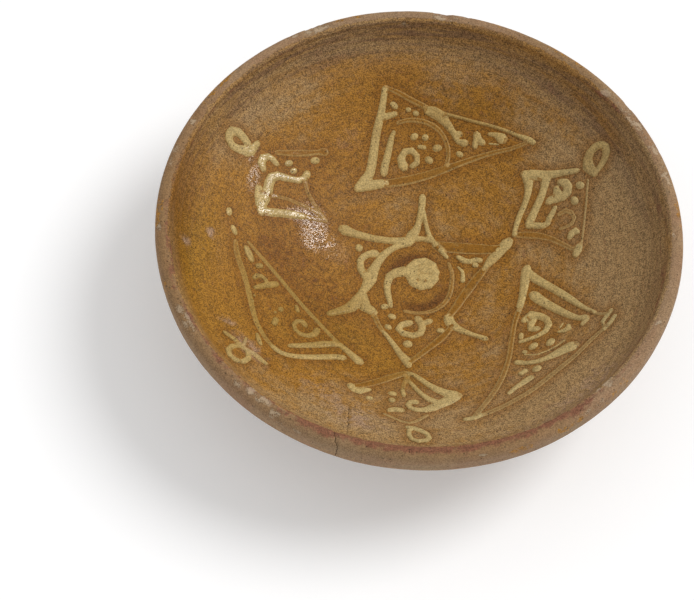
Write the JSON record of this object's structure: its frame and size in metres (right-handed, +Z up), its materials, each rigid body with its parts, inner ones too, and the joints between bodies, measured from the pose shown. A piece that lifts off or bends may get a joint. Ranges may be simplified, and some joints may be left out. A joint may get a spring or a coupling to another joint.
{
  "type": "bowl",
  "caption": "Shallow open earthenware bowl on a low foot ring, its inside trailed in pale slip with a star, triangles and kites round a swirl, under amber glaze",
  "frame": {"origin": "The middle of the foot ring's flat underside, on the bowl's axis, where it stands", "axes": "+Z is up along the bowl's axis, +Y is the side that is at the top of the picture, +X is right"},
  "size_m": [0.25, 0.25, 0.07],
  "materials": {
    "glazed_clay": "satin",
    "bare_clay": "matte",
    "cream_slip": "gloss",
    "thin_slip": "gloss"
  },
  "bodies": {
    "root": {"bottom_kite_base": "thin_slip", "bottom_kite_blob": "cream_slip", "bottom_kite_drop_lower": "cream_slip", "bottom_kite_drop_upper": "cream_slip", "bottom_kite_loop": "cream_slip", "bottom_kite_outline": "cream_slip", "clay_body": "glazed_clay", "foot_ring": "bare_clay", "left_kite_curl": "cream_slip", "left_kite_drop_lower": "cream_slip", "left_kite_drop_tip": "cream_slip", "left_kite_drop_upper": "cream_slip", "left_kite_loop": "cream_slip", "left_kite_outline": "cream_slip", "left_kite_top_edge": "thin_slip", "left_loop": "cream_slip", "left_triangle_curl": "cream_slip", "left_triangle_dash": "cream_slip", "left_triangle_drop_edge": "cream_slip", "left_triangle_drop_tip": "cream_slip", "left_triangle_edge": "cream_slip", "left_triangle_hook": "cream_slip", "left_triangle_outline": "cream_slip", "medallion_ring": "thin_slip", "medallion_swirl": "cream_slip", "right_kite_arch": "thin_slip", "right_kite_crook": "cream_slip", "right_kite_drop_lower": "cream_slip", "right_kite_drop_upper": "cream_slip", "right_kite_loop": "cream_slip", "right_kite_outline": "cream_slip", "right_kite_scroll": "cream_slip", "right_triangle_bar": "cream_slip", "right_triangle_dash": "cream_slip", "right_triangle_drop_left": "cream_slip", "right_triangle_drop_lower": "cream_slip", "right_triangle_drop_right": "cream_slip", "right_triangle_outline": "cream_slip", "right_triangle_scroll": "cream_slip", "right_triangle_teardrop": "cream_slip", "star_drop_bottom": "cream_slip", "star_drop_left": "cream_slip", "star_drop_lower_left": "cream_slip", "star_drop_upper_left": "cream_slip", "star_outline": "cream_slip", "star_scroll": "cream_slip", "star_wave": "cream_slip", "top_triangle_bar": "cream_slip", "top_triangle_drop_corner": "cream_slip", "top_triangle_drop_lower": "cream_slip", "top_triangle_drop_outer": "cream_slip", "top_triangle_drop_right": "cream_slip", "top_triangle_drop_upper": "cream_slip", "top_triangle_fork": "cream_slip", "top_triangle_outline": "cream_slip", "top_triangle_ring": "cream_slip", "top_triangle_tailed_drop": "cream_slip"}
  },
  "joints": []
}
